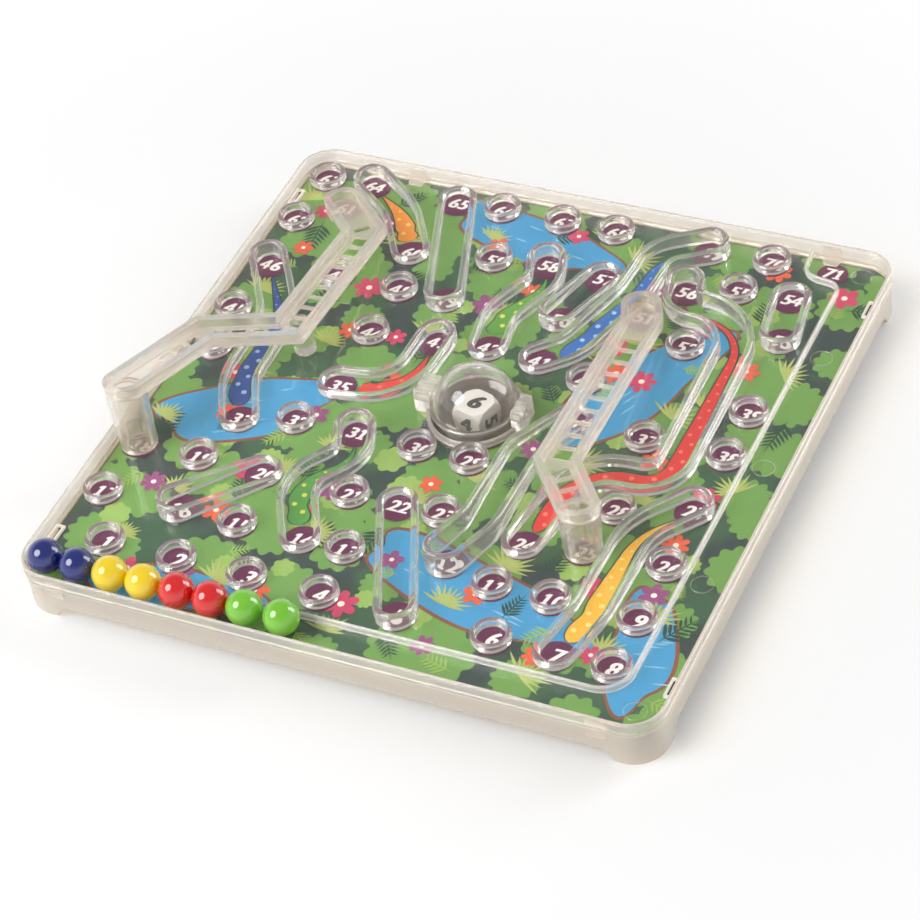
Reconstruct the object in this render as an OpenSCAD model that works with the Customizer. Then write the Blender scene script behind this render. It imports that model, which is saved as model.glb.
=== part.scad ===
// Snakes and ladders game: a clear moulded tray over a printed card on a clear base,
// with rail channels, two raised ladder chutes, marbles and a turning die capsule.
// Millimetres, Z up, origin on the table under the middle of the board, front edge toward -Y.

/* [Board] */
// Outside width and depth of the square board
board_size = 270; // [268:1:320]
// Outside radius of the four corners
corner_radius = 14; // [10:0.5:20]
// Height of the rim above the table
rim_top = 22; // [20:0.5:28]
// Thickness of the clear rim wall
rim_wall = 1.7; // [1.2:0.1:2.2]
// Height of the joint line between base and tray
joint_height = 15.8; // [15.2:0.1:17]
// Clearance between the tray and the lip of the base
tray_clearance = 0.15; // [0.1:0.05:0.3]

/* [Base] */
// Height of the feet below the skirt
foot_height = 5.5; // [4:0.5:7]
// Length of a foot along each side, measured from the corner
foot_length = 18; // [15:1:45]
// Thickness of the skirt and the feet
skirt_wall = 1.6; // [1.4:0.1:2.2]
// Thickness of the lip that holds the tray
lip_wall = 0.75; // [0.5:0.05:0.9]
// Thickness of the base plate
plate_thickness = 2; // [1.5:0.1:3]

/* [Card and panel] */
// Height of the playing surface above the table
panel_top = 14.5; // [13.5:0.1:15]
// Thickness of the clear panel
panel_thickness = 2.1; // [1.5:0.1:2.5]
// Thickness of the printed card
card_thickness = 0.6; // [0.4:0.1:1]
// Clearance round the edge of the card
card_clearance = 0.3; // [0.2:0.1:0.8]

/* [Rings] */
// Outside radius of a square's ring
ring_radius = 8; // [7:0.1:8.2]
// Width of the ring wall
ring_wall = 2.4; // [1.6:0.1:3]
// Height of a ring above the panel
ring_height = 3.5; // [2.5:0.1:4.5]

/* [Rail channels] */
// Outside half width of a channel
rail_half = 8.4; // [7.5:0.1:8.6]
// Width of one rail
rail_wall = 3; // [2:0.1:3.2]
// Height of the rails at the low end of a channel
rail_low = 3.5; // [2.5:0.1:4.5]
// Height of the rails at the high end of a short channel
rail_short = 6; // [4.5:0.1:7]
// Height of the rails at the high end of a longer channel
rail_long = 7; // [5:0.1:8.5]
// Height of the rails at the high end of the longest snake
rail_longest = 8; // [6:0.1:9]
// Height of the rails at the high end of the bent ladder
rail_bent = 11; // [8:0.1:12]

/* [Gutter] */
// Width of the front gutter between rim and wall
front_gutter = 15.8; // [15.6:0.1:17]
// Width of the right gutter between rim and wall
side_gutter = 17.6; // [16:0.1:18]
// Thickness of the gutter wall
gutter_wall_width = 1.4; // [1:0.1:2]
// Height of the gutter wall above the panel
gutter_wall_height = 3.2; // [2.5:0.1:5]

/* [Chutes] */
// Height of the rails of the long chute at its tower
long_chute_top = 49; // [44:0.5:54]
// Height of the rails of the short chute at its tower
short_chute_top = 40.5; // [37:0.5:46]
// Height of the long chute's rails at the low end
long_chute_end = 21; // [20.5:0.1:23]
// Height of the short chute's rails at the low end
short_chute_end = 23; // [22:0.1:25]
// Clearance where the short chute rests across the rail of a snake
rest_clearance = 0.3; // [0.2:0.1:0.5]
// Depth of a chute from rail top to underside
chute_depth = 5.5; // [4.5:0.1:6]
// Thickness of the ladder floor
floor_thickness = 1; // [0.8:0.1:1.5]
// Length of a rung opening across the chute
slot_length = 8; // [6:0.5:9.5]
// Width of a rung opening along the chute
slot_width = 3.4; // [2.5:0.1:4]
// Distance from one rung to the next
rung_pitch = 5; // [4.5:0.1:7]
// Radius of the tower foot
tower_foot = 7.7; // [7:0.1:8.5]
// Wall thickness of a tower
tower_wall = 1.6; // [1.2:0.1:2]
// Height of the snap fingers inside a tower
finger_height = 8; // [5:0.5:12]
// Thickness of a snap finger
finger_wall = 1.2; // [0.8:0.1:1.6]
// Clearance between fingers and tower
finger_clearance = 0.1; // [0.05:0.05:0.3]
// Radius of the leg at its foot
leg_foot = 4.5; // [3:0.1:6]
// Radius of the leg at its top
leg_top = 3.6; // [2.5:0.1:5]

/* [Die capsule] */
// Outside radius of the capsule
capsule_radius = 17; // [16:0.1:17.2]
// Wall thickness of the capsule
capsule_wall = 1.4; // [1:0.1:2]
// Height of the capsule's turning axis
capsule_axis = 20.5; // [20.2:0.1:21.5]
// How far the joint flange stands out from the capsule
flange_width = 1.2; // [0.8:0.1:1.3]
// Thickness of the joint flange
flange_thickness = 1.6; // [1:0.1:2.4]
// Clearance between the turning flange and the parts round it
capsule_clearance = 0.4; // [0.3:0.1:1]
// Width of the raised collar round the opening
collar_width = 1.5; // [1:0.1:2]
// Height of the collar above the panel
collar_height = 2.5; // [1.5:0.1:3.5]
// Radius of the turning pins
pin_radius = 2.5; // [2:0.1:2.6]
// Radial clearance of the pins in their bearings
pin_clearance = 0.05; // [0.03:0.01:0.1]
// Length of the left bearing along the axis
left_bearing_length = 7; // [5:0.5:8]
// Length of the right bearing along the axis
right_bearing_length = 4.2; // [3:0.1:4.5]
// Reach of a bearing in front of the axis
bearing_front = 5; // [4:0.5:7]
// Reach of a bearing behind the axis
bearing_back = 7.5; // [5:0.5:9]
// Height of a bearing above the axis
bearing_cover = 3.6; // [3.2:0.1:5]
// Height of the ribs on a bearing
rib_height = 0.8; // [0.4:0.1:1.2]
// Width of a rib on a bearing
rib_width = 1.4; // [1:0.1:2]
// Edge length of the die
die_size = 14; // [12:0.5:15]
// Gap between the resting die and the capsule
die_gap = 0.2; // [0.1:0.05:0.4]
// Turn of the die seen from above
die_turn = -14; // [-45:1:45]

/* [Marbles] */
// Diameter of a marble
ball_diameter = 14.5; // [13:0.1:14.8]
// Gap between a resting marble and its neighbours
ball_gap = 0.2; // [0.1:0.05:0.4]

/* [Clips] */
// Length of a clip slot along the rim
clip_length = 8; // [6:0.5:10]
// Width of a clip slot
clip_slot = 2.2; // [1.5:0.1:2.4]
// Wall thickness of the frame round a slot
clip_frame = 0.8; // [0.6:0.1:1]
// Height of the frame above the panel
clip_height = 1.2; // [0.8:0.1:2]
// Width of a hook tab on the rim
hook_width = 8; // [5:0.5:12]
// How far a hook tab stands in from the rim
hook_depth = 0.8; // [0.5:0.1:1]

/* [Hidden] */
$fn = 64;
CLEAR = [0.85, 0.81, 0.76, 0.6];
BASE = [0.8, 0.77, 0.72, 0.8];
CAPSULE = [0.8, 0.85, 0.88, 0.35];

half = board_size / 2;
rim_inner = half - rim_wall;
tray_half = half - lip_wall - tray_clearance;
card_top = panel_top - panel_thickness;
plate_top = card_top - card_thickness;
plate_bottom = plate_top - plate_thickness;
front_wall_y = -rim_inner + front_gutter + gutter_wall_width / 2;
side_wall_x = rim_inner - side_gutter - gutter_wall_width / 2;
ring_margin = 0.6;
corner_shift = 1.4;
right_column = side_wall_x - gutter_wall_width / 2 - ring_radius - ring_margin;
left_column = -rim_inner + ring_radius + ring_margin;
rail_centre = rail_half - rail_wall / 2;
clear_height = long_chute_top;
arc_step = 7.5;
cut_margin = 0.01;

// Capsule
capsule_centre = [1.7, 5.1];
flange_radius = capsule_radius + flange_width;
opening_radius = sqrt(pow(flange_radius + capsule_clearance, 2) - pow(capsule_axis - panel_top, 2));
collar_radius = flange_radius + capsule_clearance;
bearing_start = capsule_radius + 2 * capsule_clearance;
pin_inset = 0.8;
bearing_ribs = [-3.6, 1.2, 6];
die_rounding = 0.74;
die_corner = die_size * die_rounding;
die_foot = sqrt(pow(die_corner, 2) - pow(die_size / 2, 2));
capsule_inside = capsule_radius - capsule_wall;
die_drop = sqrt(pow(capsule_inside - die_gap, 2) - pow(die_foot, 2)) - die_size / 2;

// Marbles
ball_radius = ball_diameter / 2;
ball_row_y = front_wall_y - gutter_wall_width / 2 - ball_gap - ball_radius;
ball_pitch = ball_diameter + ball_gap;
corner_offset = [9.3, 0.6];
first_ball = [corner_offset.x - rim_inner, ball_row_y + corner_offset.y];
last_ball_gap = 1.3;
last_ball_x = first_ball.x + 7 * ball_pitch + last_ball_gap;

// Chutes, waypoints seen from above from the tower to the low end
long_chute = [[-124, -50], [-113, -4.6], [-82, 9.7], [-87.2, 87.8], [-106.9, 106.4]];
long_bends = [16, 12, 14];
short_chute = [[72.2, -51.3], [53.3, -28.3], [48, 68], [44, 77.5]];
short_bends = [16, 12];
leg_place = [-83, 20];
finger_ring = tower_foot - tower_wall - finger_clearance;
finger_slot = 2.4;
seat_rim = 0.2;
seat_radius = rail_half - rail_wall - seat_rim;

// Gutter wall, waypoints from its free end at the front to the back rim
gutter_line = [[-38, front_wall_y], [side_wall_x, front_wall_y], [side_wall_x, 116.5],
               [98, 119], [97, rim_inner]];
gutter_bends = [12, 5, 8];

// Channels, waypoints seen from above from the high end to the low end
ladder_05_line = [[17.5, -104.3], [-7, -51]];
ladder_12_bends = [25, 15];
ladder_12_line = [[24.5, -73.5], [30.5, -55], [29.3, -11], [40.5, 12.5]];
ladder_16_line = [[-90.5, -78.5], [-67, -51]];
ladder_49_line = [[-40, 65], [-61, 123.8]];
ladder_50_line = [[10.8, 67.5], [18.7, 95.5]];
ladder_53_line = [[102.4, 81], [98, 105.4]];
snake_27_bends = [30, 30];
snake_27_line = [[104.5, -19.5], [88.8, -38], [87.8, -82], [83, -104.3]];
snake_31_bends = [11, 13];
snake_31_line = [[-41, -18.5], [-35.5, -33], [-51, -53], [-36, -79]];
snake_43_bends = [20];
snake_43_line = [[-32, 40], [-33.5, 8], [-60.5, 4.5]];
snake_46_bends = [40, 30];
snake_46_line = [[-122.5, 64.5], [-102, 34], [-101, -6], [-91, -25]];
snake_56_bends = [9, 22, 12, 20];
snake_56_line = [[55, 97.5], [57.5, 85.5], [87.6, 84], [88.9, -10.3], [55.5, -11.5],
                 [48.5, -55.5]];
snake_58_bends = [16, 25];
snake_58_line = [[-7, 97], [-3, 84], [-13, 60], [-10.5, 43]];
snake_64_bends = [45];
snake_64_line = [[-101.5, 124], [-81, 110], [-67, 88.5]];
snake_69_bends = [14, 40, 20];
snake_69_line = [[55.5, 123.7], [37, 113], [35.5, 88], [23.5, 51], [13, 41.5]];

// Ring places, row by row from the front
row_1 = [[-110, -103.7], [-78, -103.7], [-47, -103.7], [-15.5, -103.7], [57, -104],
         [right_column, -104]];
row_2 = [[right_column, -79], [70.4, -79], [46, -79], [-16.5, -79], [-64, -79], [left_column, -79]];
row_3 = [[-96.5, -50], [-28, -51], [11.5, -50], [right_column, -50]];
row_4 = [[76, -28], [9.8, -20], [-13.5, -19.3], [-68, -19.3]];
row_5 = [[-121.5, 11], [71.5, 11.7], [right_column, 12]];
row_6 = [[right_column, 37], [36, 36], [-61.5, 37.5], [left_column, 35]];
row_7 = [[-91, 66], [-61.5, 65.5], [67, 66.5]];
row_8 = [[75.5, 104], [-30.5, 94], [left_column, 94.5]];
row_9 = [[left_column + corner_shift, 123], [-40, 124.5], [-12, 124.5], [12.5, 124.5], [82.5, 124.5]];

// Clips
clip_y = 107;
clip_margin = 0.4;
clip_x = rim_inner - clip_frame - clip_slot / 2 - clip_margin;
hook_drop = 1;
front_hooks = [-116, 112];
back_hooks = [-84, 106];

// Path functions: a line of waypoints with rounded bends, drawn at an offset to the left
function unit(v) = v / norm(v);
function heading(line, i) = unit(line[i + 1] - line[i]);
function course(line, i) = atan2(heading(line, i).y, heading(line, i).x);
function cross_part(a, b) = a.x * b.y - a.y * b.x;
function bend(line, i) = atan2(cross_part(heading(line, i - 1), heading(line, i)),
                               heading(line, i - 1) * heading(line, i));
function setback(line, bends, i) =
    i == 0 || i == len(line) - 1 ? 0 : bends[i - 1] * tan(abs(bend(line, i)) / 2);
function left_of(v) = [-v.y, v.x];
function reversed(list) = [for (i = [len(list) - 1 : -1 : 0]) list[i]];
function arc(centre, radius, from, turn) =
    let (steps = ceil(abs(turn) / arc_step))
    [for (k = [0 : steps])
        let (angle = from + turn * k / steps)
        centre + radius * [cos(angle), sin(angle)]];
function bend_centre(line, bends, i) =
    line[i] - heading(line, i - 1) * setback(line, bends, i)
    + left_of(heading(line, i - 1)) * bends[i - 1] * sign(bend(line, i));
function bend_arc(line, bends, i, offset_left) =
    arc(bend_centre(line, bends, i), bends[i - 1] - sign(bend(line, i)) * offset_left,
        course(line, i - 1) - 90 * sign(bend(line, i)), bend(line, i));
function bent_side(line, bends, offset_left) =
    len(line) < 3 ? [] : [for (i = [1 : len(line) - 2]) each bend_arc(line, bends, i, offset_left)];
function loop_points(line, bends, reach) =
    let (last = len(line) - 1)
    concat(bent_side(line, bends, reach),
           arc(line[last], reach, course(line, last - 1) + 90, -180),
           reversed(bent_side(line, bends, -reach)),
           arc(line[0], reach, course(line, 0) - 90, -180));

module rounded_square(half_size, radius) {
    straight = half_size - radius;
    square([2 * half_size, 2 * straight], center = true);
    square([2 * straight, 2 * half_size], center = true);
    for (x = [-1, 1], y = [-1, 1])
        translate([x * straight, y * straight]) circle(r = radius);
}

module board_outline(inset) {
    rounded_square(half - inset, corner_radius - inset);
}

module board_wall(outer_inset, inner_inset, low, high) {
    translate([0, 0, low])
        linear_extrude(high - low)
            difference() {
                board_outline(outer_inset);
                board_outline(inner_inset);
            }
}

// Section of a wall with a full round top at height zero
module wall_section(width, depth) {
    translate([0, -width / 2]) circle(d = width);
    translate([-width / 2, -depth]) square([width, depth - width / 2]);
}

// Outline of a closed pair of rails round a line
module rail_outline(line, bends) {
    difference() {
        polygon(loop_points(line, bends, rail_half));
        polygon(loop_points(line, bends, rail_half - rail_wall));
    }
}

// Closed pair of rails round a line, tops at height zero
module rail_loop(line, bends, depth) {
    translate([0, 0, -depth])
        linear_extrude(depth)
            rail_outline(line, bends);
}

module above_panel() {
    translate([-half, -half, panel_top])
        cube([board_size, board_size, clear_height]);
}

// Rail channel that falls evenly from its high end to its low end and stands on the panel
module channel(line, bends, high) {
    last = len(line) - 1;
    fall = high - rail_low;
    across = line[last] - line[0];
    turn = atan2(across.y, across.x);
    slope = atan(fall / norm(across));
    intersection() {
        translate([line[0].x, line[0].y, panel_top + high])
            rotate([0, 0, turn])
                rotate([0, slope, 0])
                    rotate([0, 0, -turn])
                        translate([-line[0].x, -line[0].y, 0])
                            rail_loop(line, bends, high + 2 * rail_wall);
        above_panel();
    }
}

module ring(place) {
    translate([place.x, place.y, panel_top])
        rotate_extrude()
            translate([ring_radius - ring_wall / 2, ring_height])
                wall_section(ring_wall, ring_height);
}

module ring_row(places) {
    color(CLEAR)
        for (place = places) ring(place);
}

// Chute frame: the slope runs toward the back from the tower
function chute_slope(line, top, end) = atan((top - end) / (line[len(line) - 1].y - line[0].y));
function laid_flat(line, top, end) =
    [for (p = line) [p.x, line[0].y + (p.y - line[0].y) / cos(chute_slope(line, top, end))]];

module tilted(line, top, end) {
    translate([0, line[0].y, top])
        rotate([-chute_slope(line, top, end), 0, 0])
            translate([0, -line[0].y, 0])
                children();
}

module chute_rails(line, bends, top, end) {
    flat = laid_flat(line, top, end);
    intersection() {
        tilted(line, top, end) {
            rail_loop(flat, bends, chute_depth);
            translate([0, 0, -2 * chute_depth])
                linear_extrude(chute_depth)
                    intersection() {
                        rail_outline(flat, bends);
                        translate(flat[len(flat) - 1]) circle(r = rail_half + 1);
                    }
        }
        above_panel();
    }
}

module rung_slots(line, bends) {
    for (i = [0 : len(line) - 2]) {
        first = i == 0 ? rail_half : setback(line, bends, i);
        last = i == len(line) - 2 ? rail_half : setback(line, bends, i + 1);
        run = norm(line[i + 1] - line[i]) - first - last;
        count = floor(run / rung_pitch);
        if (count > 0)
            for (k = [0 : count - 1]) {
                along = first + (run - count * rung_pitch) / 2 + (k + 0.5) * rung_pitch;
                translate(line[i] + heading(line, i) * along)
                    rotate(course(line, i))
                        square([slot_width, slot_length], center = true);
            }
    }
}

module chute_ladder(line, bends, top, end) {
    flat = laid_flat(line, top, end);
    intersection() {
        tilted(line, top, end)
            translate([0, 0, -chute_depth])
                linear_extrude(floor_thickness)
                    difference() {
                        polygon(loop_points(flat, bends, rail_half - rail_wall));
                        rung_slots(flat, bends);
                        translate(flat[0]) circle(r = seat_radius);
                    }
        above_panel();
    }
}

// Room that the short chute takes up where it crosses a channel
module short_chute_room() {
    flat = laid_flat(short_chute, short_chute_top, short_chute_end);
    tilted(short_chute, short_chute_top, short_chute_end)
        translate([0, 0, -chute_depth - rest_clearance])
            linear_extrude(clear_height)
                polygon(loop_points(flat, short_bends, rail_half + rest_clearance));
}

module below_chute(line, top, end) {
    tilted(line, top, end)
        translate([-half, -half, -chute_depth - 2 * clear_height])
            cube([board_size, board_size, 2 * clear_height]);
}

module chute_tower(line, top, end) {
    intersection() {
        translate([line[0].x, line[0].y, panel_top])
            difference() {
                cylinder(r1 = tower_foot, r2 = rail_half, h = top - panel_top);
                translate([0, 0, -cut_margin])
                    cylinder(r1 = tower_foot - tower_wall, r2 = rail_half - tower_wall,
                             h = top - panel_top + 2 * cut_margin);
            }
        below_chute(line, top, end);
    }
}

module tower_socket(place) {
    translate([place.x, place.y, panel_top])
        difference() {
            cylinder(r = finger_ring, h = finger_height);
            translate([0, 0, -1])
                cylinder(r = finger_ring - finger_wall, h = finger_height + 2);
            for (turn = [0, 90])
                rotate(turn)
                    translate([-rail_half, -finger_slot / 2, finger_wall])
                        cube([2 * rail_half, finger_slot, finger_height]);
        }
}

// Base
module foot_blank() {
    board_wall(0, skirt_wall, 0, foot_height);
}

module foot_windows() {
    window = half - foot_length - foot_height;
    for (turn = [0, 90])
        rotate(turn) {
            translate([-window, -half - 1, -1])
                cube([2 * window, board_size + 2, foot_height + 1]);
            for (side = [-1, 1])
                translate([side * window, half + 1, 0])
                    rotate([90, 0, 0])
                        cylinder(r = foot_height, h = board_size + 2);
        }
}

module corner_feet() {
    color(BASE)
        difference() {
            foot_blank();
            foot_windows();
        }
}

module base_skirt() {
    color(BASE) {
        board_wall(0, skirt_wall, foot_height, card_top);
        board_wall(0, lip_wall, card_top, joint_height);
    }
}

module capsule_opening() {
    translate([capsule_centre.x, capsule_centre.y, 0])
        cylinder(r = opening_radius, h = clear_height);
}

module base_plate() {
    color(BASE)
        difference() {
            translate([0, 0, plate_bottom])
                linear_extrude(plate_thickness) board_outline(skirt_wall);
            capsule_opening();
        }
}

module card() {
    color([0.45, 0.62, 0.35])
        difference() {
            translate([0, 0, plate_top])
                linear_extrude(card_thickness) board_outline(skirt_wall + card_clearance);
            capsule_opening();
        }
}

// Tray
module clip_places() {
    for (x = [-1, 1], y = [-1, 1])
        translate([x * clip_x, y * clip_y, 0]) children();
}

module clip_hole(height) {
    translate([-clip_slot / 2, -clip_length / 2, 0])
        cube([clip_slot, clip_length, height]);
}

module tray_panel() {
    color(CLEAR)
        difference() {
            translate([0, 0, card_top])
                linear_extrude(panel_thickness) board_outline(half - tray_half);
            capsule_opening();
            clip_places() clip_hole(clear_height);
        }
}

// Round bead along the top of the rim
module rim_bead() {
    straight = half - corner_radius;
    reach = corner_radius - rim_wall / 2;
    for (turn = [0 : 90 : 270])
        rotate(turn) {
            translate([straight + reach, straight, 0])
                rotate([90, 0, 0])
                    cylinder(d = rim_wall, h = 2 * straight);
            translate([straight, straight, 0])
                rotate_extrude(angle = 90)
                    translate([reach, 0]) circle(d = rim_wall);
        }
}

module tray_rim() {
    color(CLEAR) {
        board_wall(half - tray_half, rim_wall, panel_top, joint_height);
        board_wall(0, rim_wall, joint_height, rim_top - rim_wall / 2);
        translate([0, 0, rim_top - rim_wall / 2]) rim_bead();
    }
}

module rings_row_1() ring_row(row_1);
module rings_row_2() ring_row(row_2);
module rings_row_3() ring_row(row_3);
module rings_row_4() ring_row(row_4);
module rings_row_5() ring_row(row_5);
module rings_row_6() ring_row(row_6);
module rings_row_7() ring_row(row_7);
module rings_row_8() ring_row(row_8);
module rings_row_9() ring_row(row_9);

module clear_channel(line, bends, high) {
    color(CLEAR) channel(line, bends, high);
}

module ladder_05() clear_channel(ladder_05_line, [], rail_long);
module ladder_12() clear_channel(ladder_12_line, ladder_12_bends, rail_bent);
module ladder_16() clear_channel(ladder_16_line, [], rail_long);
module ladder_49() clear_channel(ladder_49_line, [], rail_long);
module ladder_50() clear_channel(ladder_50_line, [], rail_short);
module ladder_53() clear_channel(ladder_53_line, [], rail_short);
module snake_27() clear_channel(snake_27_line, snake_27_bends, rail_short);
module snake_31() clear_channel(snake_31_line, snake_31_bends, rail_short);
module snake_43() clear_channel(snake_43_line, snake_43_bends, rail_short);
module snake_46() clear_channel(snake_46_line, snake_46_bends, rail_long);
module snake_56() clear_channel(snake_56_line, snake_56_bends, rail_longest);
module snake_58() clear_channel(snake_58_line, snake_58_bends, rail_short);
module snake_64() clear_channel(snake_64_line, snake_64_bends, rail_short);
module snake_69() {
    difference() {
        clear_channel(snake_69_line, snake_69_bends, rail_long);
        short_chute_room();
    }
}

module gutter_wall() {
    line = gutter_line;
    bends = gutter_bends;
    reach = gutter_wall_width / 2;
    start = arc(line[0], reach, 270, -180);
    finish = [line[4] - [reach, 0], line[4] + [reach, 0]];
    color(CLEAR)
        translate([0, 0, panel_top])
            linear_extrude(gutter_wall_height)
                polygon(concat(start, bent_side(line, bends, reach), finish,
                               reversed(bent_side(line, bends, -reach))));
}

module clip_frames() {
    color(CLEAR)
        clip_places()
            translate([0, 0, panel_top])
                difference() {
                    translate([-clip_slot / 2 - clip_frame, -clip_length / 2 - clip_frame, 0])
                        cube([clip_slot + 2 * clip_frame, clip_length + 2 * clip_frame, clip_height]);
                    translate([0, 0, -1]) clip_hole(clip_height + 2);
                }
}

module hook(x, y) {
    tall = rim_top - panel_top - hook_drop;
    translate([x - hook_width / 2, y, panel_top])
        cube([hook_width, hook_depth, tall]);
}

module hook_tabs() {
    color(CLEAR) {
        for (x = front_hooks) hook(x, -rim_inner);
        for (x = back_hooks) hook(x, rim_inner - hook_depth);
    }
}

module tower_sockets() {
    color(CLEAR) {
        tower_socket(long_chute[0]);
        tower_socket(short_chute[0]);
    }
}

module long_chute_rails() {
    color(CLEAR)
        chute_rails(long_chute, long_bends, long_chute_top, long_chute_end);
}

module long_chute_ladder() {
    color(CLEAR)
        chute_ladder(long_chute, long_bends, long_chute_top, long_chute_end);
}

module long_chute_tower() {
    color(CLEAR)
        chute_tower(long_chute, long_chute_top, long_chute_end);
}

module short_chute_rails() {
    color(CLEAR)
        difference() {
            chute_rails(short_chute, short_bends, short_chute_top, short_chute_end);
            translate([0, 0, panel_top])
                linear_extrude(rail_low + rest_clearance)
                    polygon(loop_points(snake_69_line, snake_69_bends, rail_half + 2 * rest_clearance));
        }
}

module short_chute_ladder() {
    color(CLEAR)
        chute_ladder(short_chute, short_bends, short_chute_top, short_chute_end);
}

module short_chute_tower() {
    color(CLEAR)
        chute_tower(short_chute, short_chute_top, short_chute_end);
}

module long_chute_leg() {
    color(CLEAR)
        intersection() {
            translate([leg_place.x, leg_place.y, panel_top])
                cylinder(r1 = leg_foot, r2 = leg_top, h = long_chute_top - panel_top);
            below_chute(long_chute, long_chute_top, long_chute_end);
        }
}

// Die capsule
module at_capsule() {
    translate([capsule_centre.x, capsule_centre.y, capsule_axis]) children();
}

function bearing_length(side) = side > 0 ? right_bearing_length : left_bearing_length;
function bearing_edge(side) = side > 0 ? bearing_start : -bearing_start - bearing_length(side);

module bearing_block(side) {
    low = panel_top - capsule_axis;
    translate([bearing_edge(side), -bearing_front, low])
        cube([bearing_length(side), bearing_front + bearing_back, bearing_cover - low]);
}

module bearing(side) {
    color(CLEAR)
        at_capsule()
            difference() {
                union() {
                    bearing_block(side);
                    for (y = bearing_ribs)
                        translate([bearing_edge(side), y - rib_width / 2, bearing_cover])
                            cube([bearing_length(side), rib_width, rib_height]);
                }
                rotate([0, 90, 0])
                    cylinder(r = pin_radius + pin_clearance, h = 4 * capsule_radius, center = true);
            }
}

module bearing_left() bearing(-1);
module bearing_right() bearing(1);

module capsule_collar() {
    color(CLEAR)
        difference() {
            translate([capsule_centre.x, capsule_centre.y, panel_top])
                difference() {
                    cylinder(r = collar_radius + collar_width, h = collar_height);
                    translate([0, 0, -1]) cylinder(r = collar_radius, h = collar_height + 2);
                }
            at_capsule() {
                bearing_block(-1);
                bearing_block(1);
            }
            for (place = row_4)
                translate([place.x, place.y, panel_top - 1])
                    cylinder(r = ring_radius + ring_margin / 2, h = clear_height);
        }
}

module pins() {
    for (side = [-1, 1])
        rotate([0, side * 90, 0])
            translate([0, 0, capsule_inside])
                difference() {
                    cylinder(r = pin_radius,
                             h = bearing_start + bearing_length(side) - pin_inset - capsule_inside);
                    translate([0, 0, -capsule_inside]) sphere(r = capsule_inside);
                }
}

module capsule_shell() {
    difference() {
        union() {
            sphere(r = capsule_radius);
            intersection() {
                cylinder(r = flange_radius, h = flange_thickness, center = true);
                cube([2 * capsule_radius, 3 * capsule_radius, flange_thickness], center = true);
            }
        }
        sphere(r = capsule_inside);
    }
}

module half_space(side) {
    span = 4 * capsule_radius;
    translate([-span / 2, -span / 2, side > 0 ? 0 : -span])
        cube([span, span, span]);
}

module capsule_upper() {
    color(CAPSULE)
        at_capsule()
            difference() {
                intersection() {
                    capsule_shell();
                    half_space(1);
                }
                pins();
            }
}

module capsule_lower() {
    color(CAPSULE)
        at_capsule()
            union() {
                intersection() {
                    capsule_shell();
                    half_space(-1);
                }
                pins();
            }
}

module die() {
    color([0.95, 0.95, 0.93])
        at_capsule()
            translate([0, 0, -die_drop])
                rotate(die_turn)
                    intersection() {
                        cube(die_size, center = true);
                        sphere(r = die_corner);
                    }
}

module marble(place, tint) {
    color(tint)
        translate([place.x, place.y, panel_top + ball_gap + ball_radius])
            sphere(r = ball_radius);
}

function ball_place(i) = i == 0 ? first_ball : [first_ball.x + i * ball_pitch, ball_row_y];

module ball_1() marble(ball_place(0), [0.1, 0.16, 0.45]);
module ball_2() marble(ball_place(1), [0.1, 0.16, 0.45]);
module ball_3() marble(ball_place(2), [0.9, 0.78, 0.08]);
module ball_4() marble(ball_place(3), [0.9, 0.78, 0.08]);
module ball_5() marble(ball_place(4), [0.82, 0.1, 0.08]);
module ball_6() marble(ball_place(5), [0.82, 0.1, 0.08]);
module ball_7() marble(ball_place(6), [0.45, 0.75, 0.2]);
module ball_8() marble([last_ball_x, ball_row_y], [0.45, 0.75, 0.2]);

corner_feet();
base_skirt();
base_plate();
card();
tray_panel();
tray_rim();
rings_row_1();
rings_row_2();
rings_row_3();
rings_row_4();
rings_row_5();
rings_row_6();
rings_row_7();
rings_row_8();
rings_row_9();
ladder_05();
ladder_12();
ladder_16();
ladder_49();
ladder_50();
ladder_53();
snake_27();
snake_31();
snake_43();
snake_46();
snake_56();
snake_58();
snake_64();
snake_69();
gutter_wall();
clip_frames();
hook_tabs();
tower_sockets();
long_chute_rails();
long_chute_ladder();
long_chute_tower();
long_chute_leg();
short_chute_rails();
short_chute_ladder();
short_chute_tower();
capsule_collar();
bearing_left();
bearing_right();
capsule_upper();
capsule_lower();
die();
ball_1();
ball_2();
ball_3();
ball_4();
ball_5();
ball_6();
ball_7();
ball_8();
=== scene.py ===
"""Looks of a snakes and ladders marble game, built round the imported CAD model.

Sizes and places are in millimetres in the frame of the model.
Meshes are scaled to metres as they are made.
"""
import math
import random

import bmesh
import bpy
from mathutils import Matrix, Vector
from mathutils.geometry import tessellate_polygon


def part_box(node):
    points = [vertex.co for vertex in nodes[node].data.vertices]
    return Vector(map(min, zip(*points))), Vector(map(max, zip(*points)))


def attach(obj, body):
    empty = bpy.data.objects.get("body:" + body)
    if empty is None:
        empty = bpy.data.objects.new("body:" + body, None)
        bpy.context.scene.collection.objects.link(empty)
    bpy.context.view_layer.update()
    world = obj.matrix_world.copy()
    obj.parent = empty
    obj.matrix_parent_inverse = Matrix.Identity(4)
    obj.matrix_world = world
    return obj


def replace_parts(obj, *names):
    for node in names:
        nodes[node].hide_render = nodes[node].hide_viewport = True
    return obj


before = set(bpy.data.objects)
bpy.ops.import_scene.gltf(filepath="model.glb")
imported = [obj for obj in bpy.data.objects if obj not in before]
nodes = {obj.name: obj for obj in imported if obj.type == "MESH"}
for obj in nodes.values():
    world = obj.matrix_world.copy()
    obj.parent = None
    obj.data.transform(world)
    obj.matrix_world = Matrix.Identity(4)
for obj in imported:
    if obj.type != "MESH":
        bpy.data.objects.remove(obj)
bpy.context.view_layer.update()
MM = 0.001
TAU = 2 * math.pi
SQUARE = ((-1, -1), (1, -1), (1, 1), (-1, 1))
FINE_CIRCLE = 96
RING_STEPS = 56
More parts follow.
